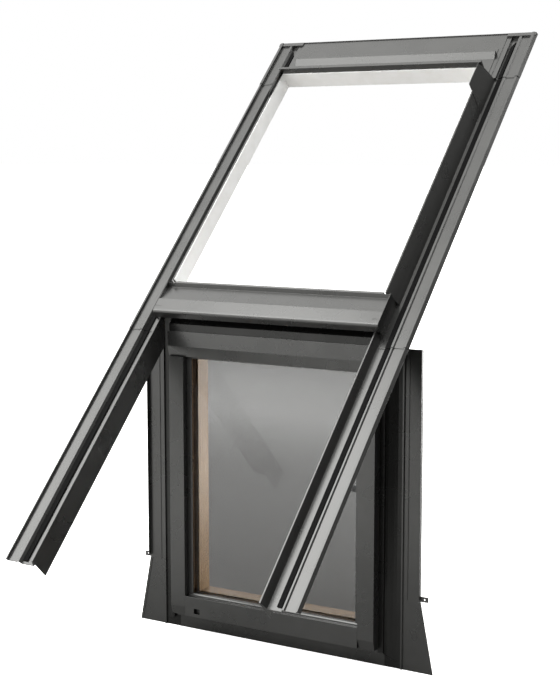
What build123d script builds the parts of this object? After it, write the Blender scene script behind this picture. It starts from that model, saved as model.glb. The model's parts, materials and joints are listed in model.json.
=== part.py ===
import os
from math import cos, pi, radians, sin, tan

from build123d import *

# Knee wall window: a vertical window in a low wall, joined by its flashing to the roof slope above.
# X runs across, +Y into the room, +Z up. The origin is the middle of the frame's sill seat.

# Driving dimensions, in millimetres and degrees
frame_width = 780.0
frame_height = 945.0
seat_depth = 36.0
roof_pitch = 45.0
roof_rise = 76.0
leg_length = 963.0
aperture_inset = 30.0
aperture_length = 910.0
lip_setback = 20.0
head_length = 204.0
lip_width = 6.0
upstand_spread = 27.0
channel_width = 26.0
bead_flank = 3.0
bead_top = 5.0
strip_width = 33.0
hem_spread = 10.0
apron_drop = 20.0
sheet = 1.5
lap_gap = 0.1
seat_gap = 0.3
overrun = 10.0

# Places that many pieces share
wall_y = -seat_depth / 2
room_y = wall_y + seat_depth
roof_height = frame_height + roof_rise
half_frame = frame_width / 2
half_aperture = half_frame - aperture_inset
channel_in = half_aperture + upstand_spread + channel_width
bead_in = channel_in + 2 * bead_flank
strip_end = bead_in + bead_top + bead_flank
hem_x = strip_end + strip_width
half_flashing = hem_x + hem_spread
lap = sheet + lap_gap
lip_v = lip_setback
upstand_v = lip_v - lip_width
head_v = lip_v + aperture_length
top_v = head_v + head_length
roof = Plane(
    origin=(0, wall_y, roof_height),
    x_dir=(1, 0, 0),
    z_dir=(0, -sin(radians(roof_pitch)), cos(radians(roof_pitch))),
)

nodes = {}


def offset_path(path, distance):
    """Points of an open path moved to its left, with mitred corners."""
    points = [Vector(*point) for point in path]
    normals = []
    for start, end in zip(points, points[1:]):
        run = (end - start).normalized()
        normals.append(Vector(-run.Y, run.X))
    moved = []
    for index, point in enumerate(points):
        before = normals[max(index - 1, 0)]
        after = normals[min(index, len(normals) - 1)]
        moved.append(point + (before + after) * (distance / (1 + before.dot(after))))
    return [(point.X, point.Y) for point in moved]


def folded(path, gauge=sheet):
    """Section of a folded sheet whose seen face follows the path."""
    return polygon(list(path) + offset_path(path, gauge)[::-1])


def polygon(points):
    return make_face(Polyline(*points, close=True))


def along_x(face, start, end):
    return extrude(Plane.YZ.offset(start) * face, amount=end - start, dir=(1, 0, 0))


def along_y(face, start, end):
    return extrude(Plane.XZ.offset(-start) * face, amount=end - start, dir=(0, 1, 0))


def along_z(face, start, end):
    return extrude(Plane.XY.offset(start) * face, amount=end - start, dir=(0, 0, 1))


def block(x_span, y_span, z_span):
    return Pos(x_span[0], y_span[0], z_span[0]) * Box(
        x_span[1] - x_span[0],
        y_span[1] - y_span[0],
        z_span[1] - z_span[0],
        align=(Align.MIN, Align.MIN, Align.MIN),
    )


def rod(radius, start, end):
    """Round bar from one point to another."""
    axis = Vector(*end) - Vector(*start)
    return extrude(Plane(origin=start, z_dir=axis) * Circle(radius), amount=axis.length)


def pair(name, right_shape):
    """A right piece and its mirror image as two nodes."""
    nodes[name + "_right"] = right_shape
    nodes[name + "_left"] = mirror(right_shape, about=Plane.YZ)


def arc_points(centre, radii, start_deg, end_deg, steps):
    """Points on an arc or a stretched arc, both ends included."""
    points = []
    for step in range(steps + 1):
        angle = radians(start_deg + (end_deg - start_deg) * step / steps)
        points.append((centre[0] + radii[0] * cos(angle), centre[1] + radii[1] * sin(angle)))
    return points


# Roof flashing sections: X across, N up from the roof face, V along the slope from the wall face
hem_height = 7.5
hem_top = 3.5
hem_fall = 1.5
bead_height = 4.0
channel_depth = 7.0
upstand_height = 50.0
upstand_fold = 4.0
plate_depth = 7.0
leg_wall_height = 20.0
leg_wall_spread = 12.5
leg_wall_fold = 4.0
skirt_depth = 56.0
seam_drop = 141.0
leg_clearance = 66.0
head_lap = 41.0
side_floor_overlap = 16.0

rail_path = [
    (half_flashing, -hem_fall),
    (hem_x + hem_top, hem_height),
    (hem_x, hem_height),
    (hem_x, 0),
    (strip_end, 0),
    (strip_end - bead_flank, bead_height),
    (bead_in, bead_height),
    (channel_in, -channel_depth),
]
leg_floor = -channel_depth
side_floor = leg_floor + lap
head_floor = side_floor + lap
floor_end = half_aperture + side_floor_overlap


def rail(floor_x, laps):
    """Outer part of a side section, lifted over the pieces that it laps."""
    return offset_path(rail_path + [(floor_x, leg_floor)], -laps * lap)


# Leg flashings: they lie on the roof below the window's head and end plumb ahead of the covers
leg_path = rail_path + [
    (half_aperture + leg_wall_spread, leg_floor),
    (half_aperture + leg_wall_fold, leg_wall_height),
    (half_aperture, leg_wall_height),
    (half_aperture, -skirt_depth),
]
plumb_cut = Plane(origin=(0, wall_y - leg_clearance, 0), x_dir=(1, 0, 0), z_dir=(0, -1, 0))
leg = roof * along_y(folded(leg_path), -leg_length, 0)
pair("leg_flashing", split(leg, bisect_by=plumb_cut, keep=Keep.TOP))

# Upper side flashings with the upstand round the roof aperture
upstand_path = rail(half_aperture + upstand_spread, 1) + [
    (half_aperture + upstand_fold, upstand_height),
    (half_aperture, upstand_height),
    (half_aperture, -plate_depth),
]
side_end = head_v + head_lap
side_flashing = along_y(folded(upstand_path), upstand_v, head_v - sheet)
side_flashing += along_y(folded(rail(floor_end, 1)), -seam_drop, upstand_v)
side_flashing += along_y(folded(rail(floor_end, 1)), head_v - sheet, side_end)
upstand_end = polygon(
    [
        (half_aperture, side_floor - sheet),
        (half_aperture + upstand_spread, side_floor - sheet),
        (half_aperture + upstand_spread, side_floor),
        (half_aperture + upstand_fold, upstand_height),
        (half_aperture, upstand_height),
    ]
)
side_flashing += along_y(upstand_end, upstand_v, upstand_v + sheet)
pair("side_flashing", roof * side_flashing)

# Foam seals in the channels, in three lengths because the floors step at the laps
seal_clearance = 1.0
seal_width = 14.0
seal_height = 4.0
seal_taper = 24.0
head_seal_length = 168.0
seal_out = channel_in - seal_clearance
seal_x = (seal_out - seal_width, seal_out)
leg_seal = block(
    seal_x,
    (-leg_length + overrun, -seam_drop - seal_clearance),
    (leg_floor, leg_floor + seal_height),
)
side_seal = block(seal_x, (-seam_drop, head_v - seal_clearance), (side_floor, side_floor + seal_height))
head_seal_v = head_v + lap + seal_clearance
head_seal_end = head_seal_v + head_seal_length
head_seal_outline = [
    (seal_x[0], head_seal_v),
    (seal_out - 2 * lap, head_seal_v),
    (seal_out - 2 * lap, head_seal_end),
    (seal_x[0], head_seal_end - seal_taper),
]
head_seal = along_z(polygon(head_seal_outline), head_floor, head_floor + seal_height)
pair("channel_seal", roof * (leg_seal + side_seal + head_seal))

# Head flashing: flat sheet above the aperture, with wings that lap over the side flashings
head_strip = 2 * lap
flat_step = 2.0
wall_lean = 1.0
wall_set_out = 5.0
strip_run = 16.0
cover_run = 110.0
cover_side = 3.0
cover_seat = 13.0
top_hem = 3.0
corner_width = 95.0
corner_depth = 14.0
corner_rise = 5.5
head_flat = head_strip + flat_step
bar_v = head_v + cover_run
half_cover = half_aperture + cover_side
wall_x = half_aperture + upstand_spread + wall_set_out
step_x = wall_x - strip_run
full_rail = rail(wall_x, 2) + [
    (wall_x - wall_lean, head_strip),
    (step_x, head_strip),
    (step_x - wall_lean, head_flat),
]
full_path = full_rail + [(-x, n) for x, n in reversed(full_rail)]
wing_path = full_rail + [(half_cover - cover_seat, head_flat)]
wing = along_y(folded(wing_path), head_v + lap, bar_v)
corner_cap = block(
    (half_flashing - corner_width, half_flashing),
    (top_v - corner_depth, top_v),
    (head_floor, head_strip + corner_rise),
)
head_flashing = along_y(folded(full_path), bar_v, top_v)
head_flashing += wing + corner_cap
head_flashing += mirror(wing + corner_cap, about=Plane.YZ)
head_flashing += block(
    (-half_flashing, half_flashing),
    (top_v - sheet, top_v),
    (head_floor - sheet, head_flat + top_hem),
)
nodes["head_flashing"] = roof * head_flashing

# Head cover: a folded upstand over the aperture, a bar across the sheet behind it, and corner returns
cover_height = 72.0
cover_ledge = 8.0
cover_foot = 22.0
bar_height = 20.0
bar_toe = 3.0
bar_top = 4.0
bar_run = 20.0
return_length = 148.0
return_cut = 50.0
foot_n = head_flat + lap
ledge_v = head_v + cover_ledge
bar_section = [
    (bar_v + bar_toe, foot_n),
    (bar_v, bar_height),
    (bar_v - bar_top, bar_height),
    (bar_v - bar_top - bar_run, foot_n),
]
ledge_section = [
    (ledge_v, foot_n),
    (ledge_v, cover_height),
    (head_v, cover_height),
]
cover_path = [(bar_v + cover_foot, foot_n)] + bar_section + ledge_section + [(head_v, head_floor)]
head_cover = along_x(folded(cover_path), -half_cover, half_cover)
cover_ends = along_x(polygon(bar_section), half_cover - sheet, half_cover)
cover_ends += along_x(polygon(ledge_section + [(head_v, foot_n)]), half_cover - sheet, half_cover)
slant = upstand_spread - upstand_fold
slant_rise = upstand_height - side_floor
return_top = half_aperture + upstand_fold - slant * (cover_height - upstand_height) / slant_rise
return_path = [(half_aperture + upstand_spread, side_floor), (return_top, cover_height)]
return_line = offset_path(return_path, -lap)
corner_return = along_y(folded(return_line), head_v - return_length, head_v + sheet / 2)
return_trim = polygon(
    [
        (head_v - return_length, side_floor),
        (head_v - return_length + return_cut, cover_height),
        (head_v - return_length - overrun, cover_height + overrun),
        (head_v - return_length - overrun, side_floor - overrun),
    ]
)
corner_return -= along_x(return_trim, 0, half_flashing)
corner_return -= block((0, half_flashing), (0, top_v), (side_floor - overrun, side_floor + lap_gap))
gusset_corner = (return_line[1][0], return_line[0][1])
gusset = along_y(polygon(return_line + [gusset_corner]), head_v, head_v + sheet)
cover_right = cover_ends + corner_return + gusset
head_cover += cover_right
head_cover += mirror(cover_right, about=Plane.YZ)
nodes["head_cover"] = roof * head_cover

# Pale strips on the aperture's side of the upstands
strip_gauge = 3.0
strip_drop = 2.0
side_strip = block(
    (half_aperture - strip_gauge, half_aperture),
    (lip_v + strip_drop, head_v - strip_gauge - seat_gap),
    (-plate_depth, upstand_height - strip_drop),
)
pair("upstand_strip", roof * side_strip)
head_strip_block = block(
    (-half_aperture + strip_gauge, half_aperture - strip_gauge),
    (head_v - strip_gauge, head_v),
    (-plate_depth, upstand_height),
)
nodes["upstand_strip_head"] = roof * head_strip_block

# Transom hood over the joint of wall and roof
hood_front = 104.0
hood_back = 53.0
hood_height = 48.0
nose_height = 28.0
nose_radius = 8.0
nose_steps = 4
nose_hem = 6.0
hood_side = 18.0
slot_inset = 21.0
slot_length = 22.0
slot_width = 3.0
slot_depth = 0.8
hood_cap_x = half_aperture + hood_side
nose_centre = (-hood_front + nose_radius, hood_height - nose_radius)
hood_arc = arc_points(nose_centre, (nose_radius, nose_radius), 90, 180, nose_steps)
hood_path = [(-hood_back, hood_height)] + hood_arc
nose_low = hood_height - nose_height
hood_path += [(-hood_front, nose_low), (-hood_front + nose_hem, nose_low)]
transom_hood = along_x(folded(hood_path), -hood_cap_x, hood_cap_x)
cap_back = upstand_v - seat_gap
cap_outline = [(cap_back, hood_height)] + hood_arc + [(-hood_front, side_floor), (cap_back, side_floor)]
hood_cap = along_x(polygon(cap_outline), hood_cap_x - sheet, hood_cap_x)
slot_v = -hood_front + slot_inset
end_slot = block(
    (hood_cap_x - slot_length, hood_cap_x + overrun),
    (slot_v, slot_v + slot_width),
    (hood_height - slot_depth, hood_height + overrun),
)
transom_hood += hood_cap
transom_hood += mirror(hood_cap, about=Plane.YZ)
transom_hood -= end_slot
transom_hood -= mirror(end_slot, about=Plane.YZ)
nodes["transom_hood"] = roof * transom_hood

# Window frame rings: insets run inward from the frame's outer rectangle, Y runs from the wall face
cover_reach = 62.0
frame_reach = 52.0
stop_depth = 7.0
shoulder_reach = 29.0
shoulder_inset = 28.0
stop_step = 13.0
jamb_width = 47.0
air_gap = 14.0
stile_width = 46.0
stop_width = 48.0
member_depth = 130.0
stop_inset = shoulder_inset + stop_step
sash_inset = jamb_width + air_gap
sight_inset = sash_inset + stile_width
stop_back = wall_y - frame_reach + stop_depth


def rectangle(inset):
    width = frame_width - 2 * inset
    height = frame_height - 2 * inset
    return Pos(0, frame_height / 2) * Rectangle(width, height)


def ring(outer_inset, inner_inset, y_span):
    return along_y(rectangle(outer_inset) - rectangle(inner_inset), *y_span)


def slab(inset, y_span):
    return along_y(rectangle(inset), *y_span)


def mitred(whole):
    """A ring cut at its corners into right, left, head and sill members."""
    low = member_depth
    high = frame_height - member_depth
    inner = half_frame - member_depth
    jamb_outline = [(half_frame, 0), (half_frame, frame_height), (inner, high), (inner, low)]
    head_outline = [(-half_frame, frame_height), (half_frame, frame_height), (inner, high), (-inner, high)]
    sill_outline = [(-half_frame, 0), (half_frame, 0), (inner, low), (-inner, low)]
    y_span = (wall_y - frame_width, wall_y + frame_width)
    jamb_wedge = along_y(polygon(jamb_outline), *y_span)
    return {
        "right": whole & jamb_wedge,
        "left": whole & mirror(jamb_wedge, about=Plane.YZ),
        "head": whole & along_y(polygon(head_outline), *y_span),
        "sill": whole & along_y(polygon(sill_outline), *y_span),
    }


frame_ring = ring(stop_inset, stop_inset + stop_width, (wall_y - frame_reach, stop_back))
frame_ring += ring(stop_inset, jamb_width, (stop_back, wall_y - shoulder_reach))
frame_ring += ring(shoulder_inset, jamb_width, (wall_y - shoulder_reach, wall_y))
frame_ring += ring(0, jamb_width, (wall_y, room_y))
frame = mitred(frame_ring)

# Gasket between the stop and the sash
sash_reach = 40.0
gasket_inset = 3.0
gasket_width = 8.0
sash_y = wall_y - sash_reach
cladding_y = sash_y - sheet
gasket_span = (stop_back, cladding_y - seat_gap)
gasket_start = sash_inset + gasket_inset
nodes["frame_gasket"] = ring(gasket_start, gasket_start + gasket_width, gasket_span)

# Covers over the frame's outer face
cover_y = wall_y - cover_reach
lintel_band = 31.0
lintel_top = frame_height - shoulder_inset + lap
lintel_face = 45.0
lintel_set_back = 8.0
lintel_low = lintel_top - lintel_face - lintel_band
board_overhang = 2.0
board_side_gap = 0.5
board_bottom = stop_inset - sheet - seat_gap
board_bend = 28.0
board_kick = 8.0
board_top = lintel_low - seat_gap
board_in = half_frame - stop_inset - stop_width - board_overhang
board_out = half_frame - stop_inset + board_side_gap + sheet
board_back = wall_y - shoulder_reach - sheet
board_outline = [
    (cover_y, board_top),
    (cover_y, board_bottom + board_bend),
    (cover_y + board_kick, board_bottom),
    (board_back, board_bottom),
    (board_back, board_top),
]
board_core = [
    (cover_y + sheet, board_top + overrun),
    (cover_y + sheet, board_bottom + board_bend),
    (cover_y + board_kick + sheet, board_bottom + sheet),
    (board_back + overrun, board_bottom + sheet),
    (board_back + overrun, board_top + overrun),
]
board = along_x(polygon(board_outline), board_in, board_out)
board -= along_x(polygon(board_core), board_in + sheet, board_out - sheet)
board -= block(
    (board_in - overrun, board_in + sheet),
    (stop_back - seat_gap, board_back + overrun),
    (0, frame_height),
)
board -= block(
    (board_in - overrun, board_in + sheet),
    (wall_y - frame_reach - seat_gap, board_back + overrun),
    (0, stop_inset + stop_width + seat_gap),
)
pair("jamb_cover", board)

lintel_half = board_out + 2 * board_overhang
lintel_path = [
    (wall_y - shoulder_reach - lap - seat_gap, lintel_top),
    (cover_y, lintel_top),
    (cover_y, lintel_top - lintel_face),
    (cover_y + lintel_set_back, lintel_low),
]
nodes["lintel_cover"] = along_x(folded(lintel_path), -lintel_half, lintel_half)

sill_cover_top = 101.0
sill_cover_lip = 9.0
sill_cover_fall = 2.0
drain_width = 21.0
drain_height = 17.0
drain_from_side = 43.0
drain_low = 49.0
sill_low = stop_inset - seat_gap - sheet
sill_half = board_in - seat_gap
sill_path = [
    (cover_y + sill_cover_lip, sill_cover_top - sill_cover_fall),
    (cover_y, sill_cover_top),
    (cover_y, sill_low),
    (wall_y - shoulder_reach, sill_low),
]
sill_cover = along_x(folded(sill_path), -sill_half, sill_half)
drain_x = -sill_half + drain_from_side
drain = block(
    (drain_x - drain_width / 2, drain_x + drain_width / 2),
    (cover_y - overrun, cover_y + sill_cover_lip),
    (drain_low, drain_low + drain_height),
)
nodes["sill_cover"] = sill_cover - drain

# Lintel flashing closes the joint between the frame's head and the roof, from gutter to gutter
gutter_strip = 16.7
gutter_y = wall_y - shoulder_reach - sheet
gutter_x = half_frame - shoulder_inset + 2 * board_overhang
gutter_in = gutter_x - gutter_strip
lintel_end = gutter_in - seat_gap
lintel_rise = 22.0
lintel_inset = 2.0
lintel_slope_run = 92.0
lintel_foot = 20.0
lintel_y = cover_y + lintel_inset
lintel_base = lintel_top + lap_gap
lintel_flashing_path = [
    (lintel_y + lintel_slope_run, lintel_base + lintel_rise + lintel_slope_run * tan(radians(roof_pitch))),
    (lintel_y, lintel_base + lintel_rise),
    (lintel_y, lintel_base),
    (lintel_y + lintel_foot, lintel_base),
]
nodes["lintel_flashing"] = along_x(folded(lintel_flashing_path), -lintel_end, lintel_end)

# Transom sill: sloping face and lip below the roof aperture, seated on the lintel flashing
lip_height = 43.0
trough_height = 32.0
trough_set_back = 8.0
sill_side_gap = 8.0
sill_tuck = 7.0
sill_foot = 12.0
sill_wing_low = 20.0
transom_foot_n = roof.to_local_coords(Vector(0, lintel_y, lintel_base + lintel_rise)).Z + lap_gap
transom_path = [
    (lip_v - sill_foot, transom_foot_n),
    (lip_v, transom_foot_n),
    (lip_v, lip_height),
    (upstand_v, lip_height),
    (upstand_v - trough_set_back, trough_height),
    (-hood_back - sill_tuck, hood_height - sheet - seat_gap),
]
half_lip = half_aperture - sill_side_gap
half_transom = hood_cap_x - sheet - seat_gap
transom_sill = along_x(folded(transom_path), -half_transom, half_transom)
wing_x = (half_lip, half_transom + overrun)
wing_cut = block(wing_x, (cap_back, lip_v + overrun), (transom_foot_n - overrun, lip_height + overrun))
wing_cut += block(wing_x, (-hood_front, lip_v + overrun), (transom_foot_n - overrun, sill_wing_low))
transom_sill -= wing_cut
transom_sill -= mirror(wing_cut, about=Plane.YZ)
nodes["transom_sill"] = roof * transom_sill

# Wall flashing: flanges with flared feet, side gutters and sill apron
flange_drop = 36.0
flange_width = 61.0
flange_top = frame_height - flange_drop
flange_in = half_flashing - flange_width
flare_start = 188.0
flare_width = 40.0
flange_bead = 5.0
flange_bead_height = 6.0
flange_hem_gap = 8.0
flange_hem_height = 13.0
flange_rib_inset = 18.0
flange_rib = 2.0
flare_hem_width = 8.0
apron_inset = 33.0
apron_half = half_frame - apron_inset
gutter_drop = 13.0
gutter_radius = shoulder_reach
gutter_steps = 6
gutter_flat = 4.0
gutter_cut = 30.0
flange_outline = [
    (flange_in, -apron_drop),
    (half_flashing + flare_width, -apron_drop),
    (half_flashing, flare_start),
    (half_flashing, flange_top),
    (flange_in, flange_top),
]
flange = along_y(polygon(flange_outline), wall_y - sheet, wall_y)
flange += block(
    (half_flashing - sheet, half_flashing),
    (wall_y - flange_hem_height, wall_y - sheet),
    (flare_start + flange_hem_gap, flange_top),
)
flange += block(
    (flange_in + flange_rib_inset, flange_in + flange_rib_inset + flange_rib),
    (wall_y - 2 * sheet, wall_y - sheet),
    (flare_start, flange_top),
)
flare_hem = along_y(folded(flange_outline[1:3], flare_hem_width), wall_y - 2 * sheet, wall_y - sheet)
flange += flare_hem & along_y(polygon(flange_outline), wall_y - 2 * sheet, wall_y)
flange += block(
    (flange_in, flange_in + flange_bead),
    (wall_y - flange_bead_height, wall_y - sheet),
    (-apron_drop, flange_top),
)
pair("wall_flange", flange)

gutter_path = [(gutter_in, gutter_y)]
gutter_run = flange_in - gutter_flat - gutter_x
gutter_centre = (gutter_x + gutter_run, wall_y - sheet - gutter_radius)
gutter_path += arc_points(gutter_centre, (gutter_run, gutter_radius), 180, 90, gutter_steps)
gutter_path += [(flange_in - lap_gap, wall_y - sheet)]
gutter = along_z(folded(gutter_path), -apron_drop, roof_height)
under_roof = Plane(origin=(0, wall_y, roof_height - gutter_drop), x_dir=(1, 0, 0), z_dir=-roof.z_dir)
gutter = split(gutter, bisect_by=under_roof, keep=Keep.TOP)
gutter_trim = polygon(
    [
        (gutter_y - overrun, gutter_cut + overrun),
        (wall_y - sheet, gutter_cut - gutter_radius),
        (wall_y - sheet, -apron_drop - overrun),
        (gutter_y - overrun, -apron_drop - overrun),
    ]
)
gutter -= along_x(gutter_trim, 0, half_flashing)
gutter -= block((0, apron_half + lap_gap), (wall_y - sheet, wall_y), (-apron_drop, frame_height))
apron_top = shoulder_inset - seat_gap
gutter += block(
    (apron_half + lap_gap, flange_in - lap_gap),
    (wall_y - sheet, wall_y),
    (-apron_drop, apron_top),
)
pair("side_gutter", gutter)

apron_low = apron_top - sheet
apron_path = [
    (gutter_y, sill_low - seat_gap),
    (gutter_y, apron_low),
    (wall_y - sheet, apron_low),
    (wall_y - sheet, -apron_drop),
]
sill_apron = along_x(folded(apron_path), -lintel_end, lintel_end)
sill_apron += block((-apron_half, apron_half), (wall_y - sheet, wall_y), (-apron_drop, apron_top))
nodes["sill_apron"] = sill_apron

# Fixing brackets on the jambs, with their screws
bracket_gauge = 3.0
bracket_height = 15.0
bracket_z = 196.0
bracket_reach = 22.0
bracket_leg = 30.0
anchor_radius = 2.75
anchor_inset = 11.0
screw_radius = 1.8
screw_head_radius = 3.6
screw_head_height = 2.2
screw_length = 25.0
screw_clearance = 0.1
screw_shares = (0.35, 0.75)
bracket_out = half_flashing + bracket_reach
bracket_z_span = (bracket_z - bracket_height / 2, bracket_z + bracket_height / 2)
bracket_y = wall_y + lap_gap
bracket = block((half_frame, bracket_out), (bracket_y, bracket_y + bracket_gauge), bracket_z_span)
bracket_back = wall_y + bracket_leg
bracket += block((half_frame, half_frame + bracket_gauge), (bracket_y, bracket_back), bracket_z_span)
anchor_x = bracket_out - anchor_inset
bracket -= rod(anchor_radius, (anchor_x, wall_y - overrun, bracket_z), (anchor_x, room_y, bracket_z))
screws = Part()
pilots = Part()
for share in screw_shares:
    screw_y = wall_y + bracket_leg * share
    head_x = half_frame + bracket_gauge
    tip = (head_x - screw_length, screw_y, bracket_z)
    screws += rod(screw_radius, tip, (head_x + screw_clearance, screw_y, bracket_z))
    screws += rod(
        screw_head_radius,
        (head_x + screw_clearance, screw_y, bracket_z),
        (head_x + screw_head_height, screw_y, bracket_z),
    )
    pilots += rod(screw_radius + screw_clearance, tip, (head_x + overrun, screw_y, bracket_z))
pair("fixing_bracket", bracket - pilots)
nodes["bracket_screws"] = screws + mirror(screws, about=Plane.YZ)
frame["right"] -= pilots
frame["left"] -= mirror(pilots, about=Plane.YZ)
nodes["frame_jamb_right"] = frame["right"]
nodes["frame_jamb_left"] = frame["left"]
nodes["frame_head"] = frame["head"]
nodes["frame_sill"] = frame["sill"]

# Sash: pine members with an inner overlap, outer cladding and a glass unit held by beads
overlap_width = 20.0
overlap_thickness = 14.0
overlap_gap = 1.0
glass_rebate = 16.0
outer_lip = 7.0
glass_edge_gap = 3.0
gasket_thickness = 2.0
pane = 4.0
cavity = 20.0
spacer_width = 10.0
bead_length = 54.0
overlap_y = room_y + overlap_gap
sash_back = overlap_y + overlap_thickness
rebate_inset = sight_inset - glass_rebate
glass_inset = rebate_inset + glass_edge_gap
glass_y = sash_y + outer_lip + gasket_thickness
inner_pane_y = glass_y + pane + cavity
sash_ring = ring(sash_inset, sight_inset, (sash_y, sash_y + outer_lip))
sash_ring += ring(sash_inset, rebate_inset, (sash_y + outer_lip, overlap_y))
sash_ring += ring(sash_inset - overlap_width, rebate_inset, (overlap_y, sash_back))
sash = mitred(sash_ring)

gasket_in = sight_inset - seat_gap
nodes["glazing_gasket"] = ring(glass_inset, gasket_in, (sash_y + outer_lip, glass_y))
nodes["outer_pane"] = slab(glass_inset, (glass_y, glass_y + pane))
nodes["inner_pane"] = slab(glass_inset, (inner_pane_y, inner_pane_y + pane))
spacer_span = (glass_y + pane, inner_pane_y)
nodes["pane_spacer"] = ring(glass_inset + seat_gap, glass_inset + spacer_width, spacer_span)
bead_y = inner_pane_y + pane + seat_gap
beads = mitred(ring(rebate_inset + seat_gap, sight_inset, (bead_y, bead_y + bead_length)))
for place, member in beads.items():
    nodes["glazing_bead_" + place] = member

cladding_return = 1.2
cladding_in = sight_inset + cladding_return
cladding_ring = ring(sash_inset + seat_gap, cladding_in, (cladding_y, sash_y))
cladding_ring += ring(sight_inset, cladding_in, (sash_y, sash_y + outer_lip))
cladding = mitred(cladding_ring)
for place in ("left", "right", "head"):
    nodes["sash_cladding_" + place] = cladding[place]

weather_height = 16.0
weather_reach = 8.0
weather_step = 3.0
weather_rise = 4.0
weather_low = sight_inset - weather_height
weather_side_gap = 3.0
weather_half = board_in - weather_side_gap
weather_outline = [
    (cladding_y, weather_low),
    (cladding_y, sight_inset),
    (cladding_y - weather_step, sight_inset - weather_step),
    (cladding_y - weather_step, sight_inset - weather_step - weather_rise),
    (cladding_y - weather_reach, sight_inset - 2 * weather_step - weather_rise),
    (cladding_y - weather_reach, weather_low),
]
weather_bar = cladding["sill"] + along_x(polygon(weather_outline), -weather_half, weather_half)
nodes["sash_weather_bar"] = weather_bar

# Hinges on the left stile: lift-off leaves on one vertical pin axis
hinge_offset = 8.0
hinge_radius = 7.0
hinge_pin_radius = 3.5
hinge_pin_play = 0.05
hinge_length = 80.0
hinge_leaf = 2.5
hinge_leaf_width = 26.0
hinge_split = 0.3
hinge_setback = 6.0
hinge_inset = 170.0
hinge_x = -(half_frame - sash_inset + overlap_width + hinge_offset)
hinge_y = sash_back - hinge_setback
frame_leaf_edge = -half_frame + hinge_setback
leaf_end = hinge_x - hinge_radius - seat_gap
hinge_pins = Part()
for place, hinge_z in (("bottom", hinge_inset), ("top", frame_height - hinge_inset)):
    low = hinge_z - hinge_length / 2
    high = hinge_z + hinge_length / 2
    bore_radius = hinge_pin_radius + hinge_pin_play
    bore = rod(bore_radius, (hinge_x, hinge_y, low - overrun), (hinge_x, hinge_y, high + overrun))
    frame_knuckle = rod(hinge_radius, (hinge_x, hinge_y, low), (hinge_x, hinge_y, hinge_z))
    frame_knuckle += block((frame_leaf_edge, leaf_end), (room_y, room_y + hinge_leaf), (low, high))
    frame_knuckle += block((leaf_end, hinge_x), (room_y, hinge_y), (low, hinge_z))
    sash_knuckle = rod(hinge_radius, (hinge_x, hinge_y, hinge_z + hinge_split), (hinge_x, hinge_y, high))
    sash_knuckle += block(
        (hinge_x, hinge_x + hinge_leaf_width + hinge_offset),
        (sash_back, sash_back + hinge_leaf),
        (hinge_z + hinge_split, high),
    )
    sash_knuckle += block(
        (hinge_x, hinge_x + hinge_radius),
        (hinge_y, sash_back + hinge_leaf),
        (hinge_z + hinge_split, high),
    )
    nodes["hinge_frame_leaf_" + place] = frame_knuckle - bore
    nodes["hinge_sash_leaf_" + place] = sash_knuckle - bore
    hinge_pins += rod(hinge_pin_radius, (hinge_x, hinge_y, low), (hinge_x, hinge_y, high))
nodes["hinge_pins"] = hinge_pins

# Lock: pinion and case in the right stile, rod with rack and cams in its edge, keeps on the jamb
handle_z = frame_height / 2
gear_module = 1.0
pinion_teeth = 15
rack_teeth = 17
pressure_angle = 20.0
tooth_play = 0.12
gear_width = 8.0
gear_set_back = 10.0
pinion_inset = 75.0
rod_thickness = 3.2
rod_groove = 6.0
rod_gap = 0.6
rod_inset = 127.5
cam_inset = 45.0
case_half = 40.0
case_wall = 2.0
spindle = 7.0
cam_radius = 4.0
cam_reach = 9.5
keep_gauge = 3.0
keep_lip = 4.5
keep_lip_gauge = 4.0
keep_side = 8.0
keep_run = 16.0
dedendum_share = 1.25
gear_y = wall_y + gear_set_back
pinion_radius = gear_module * pinion_teeth / 2
pinion_x = half_frame - pinion_inset
pitch_x = pinion_x + pinion_radius
addendum = gear_module
dedendum = dedendum_share * gear_module
pitch = pi * gear_module
lock_travel = pinion_radius * pi / 2
stile_edge = half_frame - sash_inset
gear_span = (gear_y - gear_width / 2, gear_y + gear_width / 2)


def rack_tooth(base_x, tip_x, centre):
    """Half widths follow the pressure angle from the pitch line."""
    half = pitch / 4 - tooth_play
    slope = tan(radians(pressure_angle))
    base_half = half + slope * (base_x - pitch_x)
    tip_half = half - slope * (pitch_x - tip_x)
    return [
        (base_x, centre - base_half),
        (tip_x, centre - tip_half),
        (tip_x, centre + tip_half),
        (base_x, centre + base_half),
    ]


root_x = pitch_x + dedendum
rack_points = []
for tooth in range(rack_teeth):
    centre = handle_z + pitch * (tooth - (rack_teeth - 1) / 2)
    rack_points += rack_tooth(root_x, pitch_x - addendum, centre)
rod_low = rod_inset
rod_high = frame_height - rod_inset
rod_back = root_x + rod_thickness
rack_outline = [(rod_back, rod_low), (root_x, rod_low)] + rack_points
rack_outline += [(root_x, rod_high), (rod_back, rod_high)]
nodes["lock_rod"] = along_y(polygon(rack_outline), *gear_span)
cams = Part()
keeps = Part()
for cam_z in (rod_low + cam_inset, rod_high - cam_inset):
    cams += rod(cam_radius, (rod_back, gear_y, cam_z), (stile_edge + cam_reach, gear_y, cam_z))
    keep_x = half_frame - jamb_width
    keep_z = (cam_z - keep_side, cam_z + lock_travel + keep_run)
    lip_y = gear_y + cam_radius + seat_gap
    lip_back = lip_y + keep_lip_gauge
    keeps += block((keep_x - keep_gauge, keep_x), (gear_y - keep_side, lip_back), keep_z)
    keeps += block(
        (keep_x - keep_gauge - keep_lip, keep_x - keep_gauge),
        (lip_y, lip_back),
        (cam_z + keep_side, keep_z[1]),
    )
nodes["lock_cams"] = cams
nodes["lock_keeps"] = keeps

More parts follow.
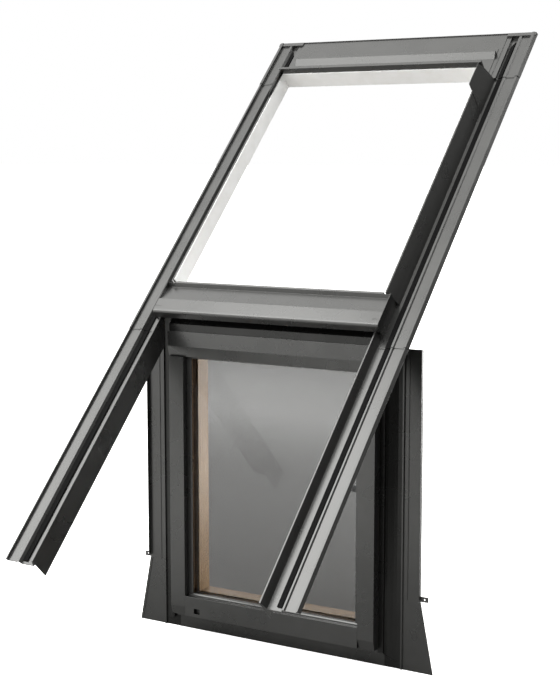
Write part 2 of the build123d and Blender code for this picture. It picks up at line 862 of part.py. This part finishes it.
# Pinion: tooth spaces on the X axis so that it meshes with the rack at rest
flank_share = 0.25
pinion_points = []
tooth_angle = 2 * pi / pinion_teeth
root_radius = pinion_radius - dedendum
tip_radius = pinion_radius + addendum - tooth_play
slope = tan(radians(pressure_angle))
tooth_side = ((root_radius, -1), (pinion_radius, -1), (tip_radius, -1))
tooth_outline = tooth_side + tuple((radius, -side) for radius, side in reversed(tooth_side))
for tooth in range(pinion_teeth):
    middle = tooth_angle * (tooth + 1 / 2)
    half = flank_share * tooth_angle - tooth_play / pinion_radius
    for radius, side in tooth_outline:
        spread = half - slope * (radius - pinion_radius) / radius
        angle = middle + side * spread
        pinion_points.append((pinion_x + radius * cos(angle), handle_z + radius * sin(angle)))
pinion = along_y(polygon(pinion_points), gear_span[0] + seat_gap, gear_span[1] - seat_gap)
lever_neck = 24.0
spindle_insert = 10.0
rose_depth = 10.0
neck_end = sash_back + rose_depth + lever_neck
spindle_end = sash_back + rose_depth + spindle_insert
pinion += block(
    (pinion_x - spindle / 2, pinion_x + spindle / 2),
    (gear_span[0] + seat_gap, spindle_end),
    (handle_z - spindle / 2, handle_z + spindle / 2),
)
nodes["drive_pinion"] = pinion

case_x = (pinion_x - pinion_radius - addendum - 2 * case_wall, stile_edge - seat_gap)
case_y = (gear_span[0] - case_wall, gear_span[1] + case_wall)
case_z = (handle_z - case_half, handle_z + case_half)
gear_case = block(case_x, case_y, case_z)
gear_room = tip_radius + case_wall / 2
gear_case -= rod(gear_room, (pinion_x, gear_span[0], handle_z), (pinion_x, gear_span[1], handle_z))
rod_slot_x = (pitch_x - addendum - rod_gap, stile_edge + overrun)
rod_slot = block(
    rod_slot_x,
    (gear_span[0] - seat_gap, gear_span[1] + seat_gap),
    (rod_low - rod_groove, rod_high + lock_travel + rod_groove),
)
gear_case -= rod_slot
spindle_bore = rod(spindle, (pinion_x, gear_y, handle_z), (pinion_x, sash_back + overrun, handle_z))
gear_case -= spindle_bore
nodes["gear_case"] = gear_case
pocket = block(
    (case_x[0] - seat_gap, stile_edge + overrun),
    (case_y[0] - seat_gap, case_y[1] + seat_gap),
    (case_z[0] - seat_gap, case_z[1] + seat_gap),
)
sash["right"] = sash["right"] - pocket - rod_slot - spindle_bore
nodes["sash_stile_right"] = sash["right"]
nodes["sash_stile_left"] = sash["left"]
nodes["sash_top_rail"] = sash["head"]
nodes["sash_bottom_rail"] = sash["sill"]

# Handle on the room side: rose and lever, lying level when the lock is open
rose_width = 28.0
rose_height = 62.0
rose_round = 10.0
lever_length = 122.0
lever_width = 20.0
lever_thickness = 12.0
lever_round = 5.0
neck_radius = 9.0
rose_face = Pos(pinion_x, handle_z) * RectangleRounded(rose_width, rose_height, rose_round)
rose = along_y(rose_face, sash_back, sash_back + rose_depth)
rose_bore = rod(spindle, (pinion_x, sash_back - overrun, handle_z), (pinion_x, neck_end, handle_z))
nodes["handle_rose"] = rose - rose_bore
lever_centre = pinion_x - lever_length / 2 + lever_width / 2
lever_face = Pos(lever_centre, handle_z) * SlotOverall(lever_length, lever_width)
lever = along_y(lever_face, neck_end - lever_thickness, neck_end)
lever = fillet(lever.faces().sort_by(Axis.Y)[-1].edges(), lever_round)
neck_start = sash_back + rose_depth + seat_gap
lever_front = neck_end - lever_thickness
lever += rod(neck_radius, (pinion_x, neck_start, handle_z), (pinion_x, lever_front, handle_z))
spindle_seat = spindle / 2 + lap_gap
lever -= block(
    (pinion_x - spindle_seat, pinion_x + spindle_seat),
    (sash_back, spindle_end + lap_gap),
    (handle_z - spindle_seat, handle_z + spindle_seat),
)
nodes["handle_lever"] = lever

os.makedirs("parts", exist_ok=True)
for node, shape in nodes.items():
    export_step(shape, os.path.join("parts", node + ".step"))
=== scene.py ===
import json
import math

import bmesh
import bpy
from mathutils import Matrix, Vector


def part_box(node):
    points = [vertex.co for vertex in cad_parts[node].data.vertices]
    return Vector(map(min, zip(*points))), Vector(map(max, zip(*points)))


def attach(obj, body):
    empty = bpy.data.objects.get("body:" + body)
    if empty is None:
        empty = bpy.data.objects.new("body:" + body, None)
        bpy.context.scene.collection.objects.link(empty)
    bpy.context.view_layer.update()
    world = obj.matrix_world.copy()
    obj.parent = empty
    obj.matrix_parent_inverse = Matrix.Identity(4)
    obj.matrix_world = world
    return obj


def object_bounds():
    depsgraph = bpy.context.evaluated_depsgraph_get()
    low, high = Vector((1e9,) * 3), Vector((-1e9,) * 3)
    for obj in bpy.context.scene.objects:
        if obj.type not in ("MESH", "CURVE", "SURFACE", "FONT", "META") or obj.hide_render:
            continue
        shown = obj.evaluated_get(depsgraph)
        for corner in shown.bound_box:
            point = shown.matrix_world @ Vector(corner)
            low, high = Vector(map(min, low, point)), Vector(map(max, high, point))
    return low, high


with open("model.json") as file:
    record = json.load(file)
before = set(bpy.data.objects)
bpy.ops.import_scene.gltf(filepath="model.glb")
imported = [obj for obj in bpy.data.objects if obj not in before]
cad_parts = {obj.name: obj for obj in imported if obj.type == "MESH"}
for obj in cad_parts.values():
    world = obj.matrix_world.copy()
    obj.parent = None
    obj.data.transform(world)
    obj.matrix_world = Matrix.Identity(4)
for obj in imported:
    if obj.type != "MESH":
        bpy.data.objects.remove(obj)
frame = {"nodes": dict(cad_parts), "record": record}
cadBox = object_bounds()
nodes = frame["nodes"]
mm = 0.001
print("frame loaded:", len(nodes), "nodes")


def hexToLinear(code):
    channels = [int(code[i:i + 2], 16) / 255 for i in (1, 3, 5)]
    linear = [c / 12.92 if c <= 0.04045 else ((c + 0.055) / 1.055) ** 2.4 for c in channels]
    return (*linear, 1.0)


# Adds one node with its settings and links, and its stops where it has a ramp
def addNode(tree, kind, settings=None, links=None, stops=()):
    node = tree.nodes.new(kind)
    for key, value in (settings or {}).items():
        if isinstance(key, int) or key in node.inputs:
            node.inputs[key].default_value = value
        else:
            setattr(node, key, value)
    for key, socket in (links or {}).items():
        tree.links.new(socket, node.inputs[key])
    if stops:
        elements = node.color_ramp.elements
        while len(elements) < len(stops):
            elements.new(1.0)
        for element, (place, colour) in zip(elements, stops):
            element.position = place
            element.color = hexToLinear(colour)
    return node


def newMaterial(name, sockets):
    material = bpy.data.materials.new(name)
    material.use_nodes = True
    tree = material.node_tree
    shader = tree.nodes["Principled BSDF"]
    for key, value in sockets.items():
        shader.inputs[key].default_value = value
    return material, tree, shader


mixUnder, mixOver, mixResult = 6, 7, 2  # the Mix node's sockets for colour, two in and one out


# Paints the side of a piece that lies past a plane across the wall
def paintPast(tree, place, side, edge, paint, under):
    across = addNode(tree, "ShaderNodeSeparateXYZ", links={"Vector": place})
    past = addNode(tree, "ShaderNodeMath", {"operation": side, 1: edge}, {0: across.outputs["Y"]})
    painted = addNode(tree, "ShaderNodeMix", {"data_type": "RGBA", mixOver: hexToLinear(paint)},
                      {0: past.outputs["Value"], mixUnder: under})
    return painted.outputs[mixResult]


# Soft patches of tint and gloss, and a fine grain that stands up from the surface
finishPattern = {
    "patchDetail": 3.0,
    "tintShares": (0.35, 0.65),
    "glossShares": (0.3, 0.7),
    "grainDetail": 2.0,
    "grainStrength": 0.35,
    "foldSamples": 6,
}


def makeFinish(name, look, returnEdge=None):
    pattern = finishPattern
    material, tree, shader = newMaterial(name, {
        "Metallic": look["metallic"], "Specular IOR Level": look["specular"]})
    place = addNode(tree, "ShaderNodeTexCoord").outputs["Object"]
    patch = addNode(tree, "ShaderNodeTexNoise", {
        "Scale": 1 / (look["patchMm"] * mm), "Detail": pattern["patchDetail"]}, {"Vector": place})
    low, high = pattern["tintShares"]
    tint = addNode(tree, "ShaderNodeValToRGB", links={"Fac": patch.outputs["Fac"]},
                   stops=[(low, look["shade"]), (high, look["colour"])])
    colour = tint.outputs["Color"]
    # Past the given edge the colour is painted shade, as on the sash return beside the glass.
    if returnEdge is not None:
        colour = paintPast(tree, place, "GREATER_THAN", returnEdge, look["returnShade"], colour)
    tree.links.new(colour, shader.inputs["Base Color"])
    low, high = pattern["glossShares"]
    smooth, rough = look["roughness"]
    gloss = addNode(tree, "ShaderNodeMapRange", {
        "From Min": low, "From Max": high, "To Min": smooth, "To Max": rough},
        {"Value": patch.outputs["Fac"]})
    tree.links.new(gloss.outputs["Result"], shader.inputs["Roughness"])
    grain = addNode(tree, "ShaderNodeTexNoise", {
        "Scale": 1 / (look["grainMm"] * mm), "Detail": pattern["grainDetail"]}, {"Vector": place})
    bump = addNode(tree, "ShaderNodeBump", {
        "Strength": pattern["grainStrength"], "Distance": look["grainDepthMm"] * mm},
        {"Height": grain.outputs["Fac"]})
    if "foldMm" in look:
        fold = addNode(tree, "ShaderNodeBevel", {
            "Radius": look["foldMm"] * mm, "samples": pattern["foldSamples"]})
        tree.links.new(fold.outputs["Normal"], bump.inputs["Normal"])
    tree.links.new(bump.outputs["Normal"], shader.inputs["Normal"])
    return material


# Coil-coated aluminium sheet, rolled and folded: a dark grey lacquer with metal flake,
# so faces that see the sky turn pale, faces that see the ground stay nearly black,
# and the rounded folds catch a thin line of light.
coatedSheet = {
    "colour": "#565655",
    "shade": "#525251",
    "metallic": 0.75,
    "specular": 0.5,
    "roughness": (0.26, 0.3),
    "patchMm": 120.0,
    "grainMm": 5.0,         # the real orange peel is about 1 mm, drawn coarser so that it shows
    "grainDepthMm": 0.004,
    "foldMm": 1.2,
}

# The same sheet on the sash, where the return beside the glass is painted umber: a painted shade, the colour
# of the pine in shade behind it.
sashShadeSheet = {
    **coatedSheet,
    "returnShade": "#7d6650",
    "returnMm": 1.1,        # behind the front face
}

# The same sheet in the gutters beside and above the wall window, painted near-black: a painted shade for the
# deep gutters and the recess under the hood.
gutterShadeSheet = {
    **coatedSheet,
    "colour": "#363635",
    "shade": "#323231",
}

# Powder-coated steel, baked: a dull charcoal with a fine pebbled skin.
powderCoat = {
    "colour": "#4b4b4a",
    "shade": "#434342",
    "metallic": 0.0,
    "specular": 0.5,
    "roughness": (0.45, 0.55),
    "patchMm": 12.0,
    "grainMm": 1.5,         # real pebbling is about half a millimetre, drawn coarser so that it shows
    "grainDepthMm": 0.08,
}

# EPDM rubber, extruded: black with a dry grey bloom and a soft, low sheen.
epdmRubber = {
    "colour": "#1d1d1d",
    "shade": "#131313",
    "metallic": 0.0,
    "specular": 0.35,
    "roughness": (0.55, 0.7),
    "patchMm": 18.0,
    "grainMm": 1.0,
    "grainDepthMm": 0.04,
}

# White PVC, extruded: a clean satin white with hardly any tint.
whitePvc = {
    "colour": "#fbfbfa",
    "shade": "#f4f4f2",
    "metallic": 0.0,
    "specular": 0.5,
    "roughness": (0.35, 0.45),
    "patchMm": 40.0,
    "grainMm": 4.0,
    "grainDepthMm": 0.02,
}

# Bronze-anodised aluminium, roll-formed: a dark brown edge line between the two panes.
bronzeAnodised = {
    "colour": "#6e563e",
    "shade": "#5e4933",
    "metallic": 0.6,
    "specular": 0.5,
    "roughness": (0.38, 0.48),
    "patchMm": 10.0,
    "grainMm": 1.5,
    "grainDepthMm": 0.03,
}

# Satin anodised aluminium, bead-blasted before the bath: pale, with a broad soft highlight.
satinAnodised = {
    "colour": "#c6c7c8",
    "shade": "#bfc0c1",
    "metallic": 1.0,
    "specular": 0.5,
    "roughness": (0.28, 0.36),
    "patchMm": 25.0,
    "grainMm": 0.8,
    "grainDepthMm": 0.02,
}

# Zinc-plated steel, bright: a cool pale metal whose plating shows faint crystal patches.
zincPlate = {
    "pale": "#c3c3bd",
    "dark": "#a3a39e",
    "metallic": 1.0,
    "roughness": (0.24, 0.42),
    "spangleMm": 5.0,
    "spangleShares": (0.2, 0.8),
}


def makeZincPlate(name, look):
    material, tree, shader = newMaterial(name, {"Metallic": look["metallic"]})
    place = addNode(tree, "ShaderNodeTexCoord").outputs["Object"]
    spangle = addNode(tree, "ShaderNodeTexVoronoi", {"Scale": 1 / (look["spangleMm"] * mm)},
                      {"Vector": place})
    low, high = look["spangleShares"]
    tint = addNode(tree, "ShaderNodeValToRGB", links={"Fac": spangle.outputs["Color"]},
                   stops=[(low, look["dark"]), (high, look["pale"])])
    tree.links.new(tint.outputs["Color"], shader.inputs["Base Color"])
    smooth, rough = look["roughness"]
    gloss = addNode(tree, "ShaderNodeMapRange", {"To Min": smooth, "To Max": rough},
                    {"Value": spangle.outputs["Color"]})
    tree.links.new(gloss.outputs["Result"], shader.inputs["Roughness"])
    return material


# Open-cell foam, cut: soaks up light, with no gloss and small dark pores.
openFoam = {
    "skin": "#161616",
    "pore": "#0a0a0a",
    "roughness": 1.0,
    "specular": 0.1,
    "poreMm": 3.0,          # real pores are about 1 mm, drawn coarser so that they show
    "poreDepthMm": 0.6,
    "poreShares": (0.1, 0.5),
    "poreStrength": 0.4,
}


def makeFoam(name, look):
    material, tree, shader = newMaterial(name, {
        "Roughness": look["roughness"], "Specular IOR Level": look["specular"]})
    place = addNode(tree, "ShaderNodeTexCoord").outputs["Object"]
    pores = addNode(tree, "ShaderNodeTexVoronoi", {"Scale": 1 / (look["poreMm"] * mm)}, {"Vector": place})
    low, high = look["poreShares"]
    tint = addNode(tree, "ShaderNodeValToRGB", links={"Fac": pores.outputs["Distance"]},
                   stops=[(low, look["pore"]), (high, look["skin"])])
    tree.links.new(tint.outputs["Color"], shader.inputs["Base Color"])
    bump = addNode(tree, "ShaderNodeBump", {
        "Strength": look["poreStrength"], "Distance": look["poreDepthMm"] * mm},
        {"Height": pores.outputs["Distance"]})
    tree.links.new(bump.outputs["Normal"], shader.inputs["Normal"])
    return material


# Clear-lacquered pine, planed: warm pale wood with darker late-wood lines along each member.
# The outer part of the frame is painted near-black, a painted shade so that the drain slot shows dark.
pine = {
    "early": "#dfba85",
    "late": "#bc8f59",
    "roughness": 0.4,
    "coat": 0.3,
    "coatRoughness": 0.2,
    "ringMm": 6.0,          # real rings are about 3 mm, drawn coarser so that they show
    "ringShares": (0.3, 0.95),
    "ringDetail": 2.0,
    "ringDetailScale": 0.35,
    "wander": 3.0,
    "stretch": 18.0,
    "pithMm": (150.0, 90.0, 60.0),
    "fibre": "#d8cfc4",
    "clear": "#ffffff",
    "fibreMm": 1.2,
    "fibreDepthMm": 0.1,
    "fibreDetail": 2.0,
    "fibreShares": (0.4, 0.6),
    "fibreStrength": 0.2,
    "slotShade": "#0e0e0e",
    "slotShadeMm": 32.0,       # behind the frame's outer face
}
waveTurn = 2 * math.pi / 20  # Blender's wave texture repeats each 0.314 of its own units


def makePine(name, look, alongAxis, slotShadeEdge=None):
    material, tree, shader = newMaterial(name, {
        "Roughness": look["roughness"],
        "Coat Weight": look["coat"],
        "Coat Roughness": look["coatRoughness"],
    })
    place = addNode(tree, "ShaderNodeTexCoord").outputs["Object"]
    squeeze = [1.0, 1.0, 1.0]
    squeeze[alongAxis] = 1 / look["stretch"]
    pith = [length * mm for length in look["pithMm"]]
    mapped = addNode(tree, "ShaderNodeMapping", {"Location": pith, "Scale": squeeze}, {"Vector": place})
    rings = addNode(tree, "ShaderNodeTexWave", {
        "wave_type": "RINGS",
        "rings_direction": "XYZ"[alongAxis],
        "wave_profile": "SAW",
        "Scale": waveTurn / (look["ringMm"] * mm),
        "Distortion": look["wander"],
        "Detail": look["ringDetail"],
        "Detail Scale": look["ringDetailScale"],
    }, {"Vector": mapped.outputs["Vector"]})
    low, high = look["ringShares"]
    tint = addNode(tree, "ShaderNodeValToRGB", links={"Fac": rings.outputs["Fac"]},
                   stops=[(low, look["early"]), (high, look["late"])])
    fibres = addNode(tree, "ShaderNodeTexNoise", {
        "Scale": 1 / (look["fibreMm"] * mm), "Detail": look["fibreDetail"]},
        {"Vector": mapped.outputs["Vector"]})
    low, high = look["fibreShares"]
    streak = addNode(tree, "ShaderNodeValToRGB", links={"Fac": fibres.outputs["Fac"]},
                     stops=[(low, look["fibre"]), (high, look["clear"])])
    wood = addNode(tree, "ShaderNodeMix", {"data_type": "RGBA", "blend_type": "MULTIPLY", 0: 1.0},
                   {mixUnder: tint.outputs["Color"], mixOver: streak.outputs["Color"]})
    colour = wood.outputs[mixResult]
    # In front of the edge the wood gets painted shade, near-black, for the drain slot.
    if slotShadeEdge is not None:
        colour = paintPast(tree, place, "LESS_THAN", slotShadeEdge, look["slotShade"], colour)
    tree.links.new(colour, shader.inputs["Base Color"])
    bump = addNode(tree, "ShaderNodeBump", {
        "Strength": look["fibreStrength"], "Distance": look["fibreDepthMm"] * mm},
        {"Height": fibres.outputs["Fac"]})
    tree.links.new(bump.outputs["Normal"], shader.inputs["Normal"])
    return material


# Float glass with a grey low-emission coating: clear, slightly smoky and mirror smooth,
# but for the long, shallow wave that the toughening rollers leave.
floatGlass = {
    "colour": "#c4c4c4",
    "ior": 1.25,            # below the usual 1.52, since four faces in a row would mirror too much
    "roughness": 0.0,
    "transmission": 1.0,
    "waveMm": 240.0,
    "waveDepthMm": 0.004,
}


def makeGlass(name, look):
    material, tree, shader = newMaterial(name, {
        "Base Color": hexToLinear(look["colour"]),
        "Roughness": look["roughness"],
        "IOR": look["ior"],
        "Transmission Weight": look["transmission"],
    })
    place = addNode(tree, "ShaderNodeTexCoord").outputs["Object"]
    wave = addNode(tree, "ShaderNodeTexNoise", {"Scale": 1 / (look["waveMm"] * mm), "Detail": 0.0},
                   {"Vector": place})
    bump = addNode(tree, "ShaderNodeBump", {"Distance": look["waveDepthMm"] * mm},
                   {"Height": wave.outputs["Fac"]})
    tree.links.new(bump.outputs["Normal"], shader.inputs["Normal"])
    return material


slotMaterials = {
    "coated_aluminium": makeFinish("coil-coated aluminium", coatedSheet),
    "coated_steel": makeFinish("powder-coated steel", powderCoat),
    "gasket_rubber": makeFinish("extruded EPDM rubber", epdmRubber),
    "pale_strip": makeFinish("extruded white PVC", whitePvc),
    "spacer_aluminium": makeFinish("bronze-anodised aluminium", bronzeAnodised),
    "handle_aluminium": makeFinish("satin anodised aluminium", satinAnodised),
    "zinc_steel": makeZincPlate("zinc-plated steel", zincPlate),
    "foam_seal": makeFoam("open-cell foam", openFoam),
    "glass": makeGlass("low-emission float glass", floatGlass),
}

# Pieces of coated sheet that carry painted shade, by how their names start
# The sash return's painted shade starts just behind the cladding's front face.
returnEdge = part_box("sash_cladding_left")[0][1] + sashShadeSheet["returnMm"] * mm
sashShadeCoat = makeFinish("coil-coated aluminium, painted shade on return", sashShadeSheet, returnEdge)
gutterShadeCoat = makeFinish("coil-coated aluminium, near-black painted shade", gutterShadeSheet)
paintedShadeCoats = {"sash_cladding": sashShadeCoat, "side_gutter": gutterShadeCoat, "lintel_flashing": gutterShadeCoat}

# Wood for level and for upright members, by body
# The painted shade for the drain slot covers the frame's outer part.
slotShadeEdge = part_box("frame_sill")[0][1] + pine["slotShadeMm"] * mm
alongX, alongZ = 0, 2
pineMaterials = {
    "sash": [
        makePine("lacquered pine, level grain", pine, alongX),
        makePine("lacquered pine, upright grain", pine, alongZ),
    ],
    "frame": [
        makePine("pine with painted slot shade, level grain", pine, alongX, slotShadeEdge),
        makePine("pine with painted slot shade, upright grain", pine, alongZ, slotShadeEdge),
    ],
}


def isLevel(name):
    low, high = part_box(name)
    return high[0] - low[0] > high[2] - low[2]


for entry in frame["record"]["subparts"]:
    name = entry["node"]
    if entry["material_slot"] == "pine":
        level, upright = pineMaterials["frame" if name.startswith("frame") else "sash"]
        material = level if isLevel(name) else upright
    else:
        material = slotMaterials[entry["material_slot"]]
        for start, coat in paintedShadeCoats.items():
            if name.startswith(start):
                material = coat
    nodes[name].data.materials.clear()
    nodes[name].data.materials.append(material)
print("materials set")

# Raised countersunk heads with a cross recess, that hold the hinge leaves and the rose. Lengths are in mm.
screwHead = {
    "radius": 2.8,
    "rim": 0.15,
    "crown": 0.6,
    "shoulder": (0.85, 0.75),  # shares of the radius and of the crown
    "flat": 0.65,              # share of the radius
    "arm": 1.5,
    "web": 0.45,
    "taper": 0.7,
    "sides": 24,
}
hingeScrews = {"edge": 9.0, "frameShares": (0.15, 0.5, 0.85), "sashShares": (0.25, 0.75)}
roseScrews = {"inset": 8.5}
toRoom = (0, 1, 0)


def addRing(mesh, radii, height):
    turn = 2 * math.pi / len(radii)
    return [mesh.verts.new((r * math.cos(i * turn) * mm, r * math.sin(i * turn) * mm, height * mm))
            for i, r in enumerate(radii)]


def joinRings(mesh, lower, upper):
    for i in range(len(lower)):
        k = (i + 1) % len(lower)
        mesh.faces.new((lower[i], lower[k], upper[k], upper[i]))


def addScrewHead(mesh, look, place, facing):
    before = len(mesh.verts)
    sides = look["sides"]
    radius, crown = look["radius"], look["crown"]
    shoulderRadius, shoulderHeight = look["shoulder"]
    quarter = sides // 4
    arms = [look["arm"] if i % quarter in (0, 1, quarter - 1) else look["web"] for i in range(sides)]
    profile = [
        ([radius] * sides, 0.0),
        ([radius] * sides, look["rim"]),
        ([radius * shoulderRadius] * sides, crown * shoulderHeight),
        ([radius * look["flat"]] * sides, crown),
        (arms, crown),
        ([arm * look["taper"] for arm in arms], look["rim"]),
    ]
    rings = [addRing(mesh, radii, height) for radii, height in profile]
    for lower, upper in zip(rings, rings[1:]):
        joinRings(mesh, lower, upper)
    mesh.faces.new(rings[-1])
    mesh.faces.new(rings[0][::-1])
    mesh.verts.ensure_lookup_table()
    turn = Vector((0, 0, 1)).rotation_difference(Vector(facing)).to_matrix().to_4x4()
    bmesh.ops.transform(mesh, matrix=Matrix.Translation(place) @ turn, verts=mesh.verts[before:])


def addScrews(name, body, places, facing):
    mesh = bmesh.new()
    for place in places:
        addScrewHead(mesh, screwHead, place, facing)
    data = bpy.data.meshes.new(name)
    mesh.to_mesh(data)
    mesh.free()
    data.materials.append(slotMaterials["zinc_steel"])
    piece = bpy.data.objects.new(name, data)
    bpy.context.scene.collection.objects.link(piece)
    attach(piece, body)


# Places along an upright leaf, at shares of its length
def alongLeaf(x, y, low, high, shares):
    return [(x, y, low[2] + (high[2] - low[2]) * share) for share in shares]


edge = hingeScrews["edge"] * mm
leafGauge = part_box("hinge_sash_leaf_top")[1][1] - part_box("sash_stile_left")[1][1]
frameLeafPlaces, sashLeafPlaces = [], []
for end in ("bottom", "top"):
    low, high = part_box("hinge_frame_leaf_" + end)
    frameLeafPlaces += alongLeaf(low[0] + edge, low[1] + leafGauge, low, high, hingeScrews["frameShares"])
    low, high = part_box("hinge_sash_leaf_" + end)
    sashLeafPlaces += alongLeaf(high[0] - edge, high[1], low, high, hingeScrews["sashShares"])
addScrews("hingeFrameScrews", "frame", frameLeafPlaces, toRoom)
addScrews("hingeSashScrews", "sash", sashLeafPlaces, toRoom)

inset = roseScrews["inset"] * mm
low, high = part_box("handle_rose")
roseMiddle = (low[0] + high[0]) / 2
rosePlaces = [(roseMiddle, high[1], low[2] + inset), (roseMiddle, high[1], high[2] - inset)]
addScrews("roseScrews", "sash", rosePlaces, toRoom)
print("screws set")

# Studio: a floor with a painted pool of light at the front left and painted shade at the right, soft boxes,
# and a dome that is bright at the upper left and dim at the far right, for the folded metal to mirror.
# Seen directly, floor and dome are a white paper roll, lit on its own. Lengths are in metres.
studio = {
    "floorSize": 400.0,
    "paper": "#ffffff",
    "paperGlow": 0.9,
    "poolPlace": (-2.2, -2.6, 0.0),
    "poolReach": 8.0,
    "poolStops": [(0.0, "#c2c2c1"), (0.2, "#c2c2c1"), (0.36, "#8c8c8b"), (0.45, "#8c8c8b"),
                  (0.6, "#a4a4a3"), (0.75, "#d0d0cf"), (1.0, "#a4a4a3")],
    "fadeSide": (0.8, -0.6, 0.0),
    "fade": {"From Min": 0.9, "From Max": 2.2, "To Min": 1.0, "To Max": 0.15},
    "dimSide": (0.75, -0.1, -0.6),
    "domeStops": [(0.0, "#ffffff"), (0.08, "#fafaf8"), (0.22, "#c8c8c6"), (0.4, "#727271"),
                  (0.5, "#6c6c6b"), (0.7, "#5c5c5b"), (0.85, "#202020"), (1.0, "#101010")],
    "domeStrength": 2.3,
}


def makePaper(name, look):
    material = bpy.data.materials.new(name)
    material.use_nodes = True
    tree = material.node_tree
    tree.nodes.remove(tree.nodes["Principled BSDF"])
    place = addNode(tree, "ShaderNodeTexCoord").outputs["Object"]
    # What the metal mirrors: a painted pool of light around the front left, fading to painted shade towards
    # the right.
    away = addNode(tree, "ShaderNodeVectorMath", {"operation": "DISTANCE", 1: look["poolPlace"]}, {0: place})
    reach = addNode(tree, "ShaderNodeMapRange", {"From Max": look["poolReach"]},
                    {"Value": away.outputs["Value"]})
    pool = addNode(tree, "ShaderNodeValToRGB", links={"Fac": reach.outputs["Result"]},
                   stops=look["poolStops"])
    aside = addNode(tree, "ShaderNodeVectorMath", {"operation": "DOT_PRODUCT", 1: look["fadeSide"]},
                    {0: place})
    keep = addNode(tree, "ShaderNodeMapRange", look["fade"], {"Value": aside.outputs["Value"]})
    faded = addNode(tree, "ShaderNodeVectorMath", {"operation": "SCALE"},
                    {0: pool.outputs["Color"], "Scale": keep.outputs["Result"]})
    mirrored = addNode(tree, "ShaderNodeBsdfDiffuse", links={"Color": faded.outputs["Vector"]})
    white = hexToLinear(look["paper"])
    matt = addNode(tree, "ShaderNodeBsdfDiffuse", {"Color": white})
    glow = addNode(tree, "ShaderNodeEmission", {"Color": white, "Strength": look["paperGlow"]})
    lit = addNode(tree, "ShaderNodeAddShader", links={0: matt.outputs["BSDF"], 1: glow.outputs["Emission"]})
    ray = addNode(tree, "ShaderNodeLightPath")
    either = addNode(tree, "ShaderNodeMixShader", links={
        0: ray.outputs["Is Camera Ray"],
        1: mirrored.outputs["BSDF"],
        2: lit.outputs["Shader"],
    })
    tree.links.new(either.outputs["Shader"], tree.nodes["Material Output"].inputs["Surface"])
    return material


def makeDome(name, look):
    world = bpy.data.worlds.new(name)
    world.use_nodes = True
    tree = world.node_tree
    mirrored = tree.nodes["Background"]
    mirrored.inputs["Strength"].default_value = look["domeStrength"]
    direction = addNode(tree, "ShaderNodeTexCoord").outputs["Generated"]
    dimSide = Vector(look["dimSide"]).normalized()
    dim = addNode(tree, "ShaderNodeVectorMath", {"operation": "DOT_PRODUCT", 1: dimSide}, {0: direction})
    share = addNode(tree, "ShaderNodeMapRange", {"From Min": -1.0, "From Max": 1.0},
                    {"Value": dim.outputs["Value"]})
    shade = addNode(tree, "ShaderNodeValToRGB", links={"Fac": share.outputs["Result"]},
                    stops=look["domeStops"])
    tree.links.new(shade.outputs["Color"], mirrored.inputs["Color"])
    backdrop = addNode(tree, "ShaderNodeBackground", {"Color": hexToLinear(look["paper"])})
    ray = addNode(tree, "ShaderNodeLightPath")
    either = addNode(tree, "ShaderNodeMixShader", links={
        0: ray.outputs["Is Camera Ray"],
        1: mirrored.outputs["Background"],
        2: backdrop.outputs["Background"],
    })
    tree.links.new(either.outputs["Shader"], tree.nodes["World Output"].inputs["Surface"])
    return world


floorZ = cadBox[0][2]
bpy.ops.mesh.primitive_plane_add(size=studio["floorSize"], location=(0, 0, floorZ))
floor = bpy.context.object
floor.name = "studioFloor"
floor.data.materials.append(makePaper("white paper roll", studio))
bpy.context.scene.world = makeDome("studioDome", studio)

# Sizes and places in metres, powers in watts, spreads in degrees
softBoxes = {
    "overLeftLeg": {"place": (-1.8, -1.85, 3.7), "aim": (-0.1, -0.4, 0.6), "size": (2.6, 2.6),
                    "power": 88.0},
    "frontHigh": {"place": (0.6, -3.2, 3.4), "aim": (-0.1, -0.6, 0.0), "size": (1.6, 1.6), "power": 75.0},
    "frontLow": {"place": (-3.4, -6.2, 1.3), "aim": (0.0, 0.0, 0.8), "size": (4.5, 2.0), "power": 64.0},
    "rearFloor": {"place": (-3.0, 5.5, 2.6), "aim": (-3.2, 5.8, 0.0), "size": (3.0, 3.0), "power": 98.0},
    "rightTop": {"place": (2.6, 1.0, 4.4), "aim": (-0.3, 0.3, 1.0), "size": (1.6, 1.6), "power": 48.0},
    "roomSide": {"place": (2.6, 4.2, 0.5), "aim": (-0.3, 0.0, 0.7), "size": (2.2, 0.7), "power": 45.0},
    "reveal": {"place": (0.9, 1.1, 0.3), "aim": (-0.28, 0.0, 0.42), "size": (0.8, 0.8), "power": 3.0,
               "spread": 34.0},
}
openSpread = 180.0  # of a soft box without a grid

for name, look in softBoxes.items():
    data = bpy.data.lights.new(name, "AREA")
    data.shape = "RECTANGLE"
    data.size, data.size_y = look["size"]
    data.energy = look["power"]
    data.spread = math.radians(look.get("spread", openSpread))
    lamp = bpy.data.objects.new(name, data)
    bpy.context.scene.collection.objects.link(lamp)
    lamp.location = look["place"]
    lamp.rotation_euler = (Vector(look["aim"]) - lamp.location).to_track_quat("-Z", "Y").to_euler()
    lamp.visible_camera = False
    lamp.visible_transmission = False
print("studio set")

# Camera at the photograph's viewing angle, solved from the picture's straight edges
camera = {
    "place": (2.1947, -3.6734, 1.4398),
    "yaw": 30.93,
    "pitch": 7.52,
    "lensMm": 75.34,
    "sensorMm": 36.0,
}
camData = bpy.data.cameras.new("photoCamera")
camData.lens = camera["lensMm"]
camData.sensor_width = camera["sensorMm"]
cam = bpy.data.objects.new("photoCamera", camData)
bpy.context.scene.collection.objects.link(cam)
cam.location = camera["place"]
cam.rotation_euler = (math.radians(90 - camera["pitch"]), 0, math.radians(camera["yaw"]))
bpy.context.scene.camera = cam
bpy.context.scene.view_settings.view_transform = "Standard"
print("camera set")
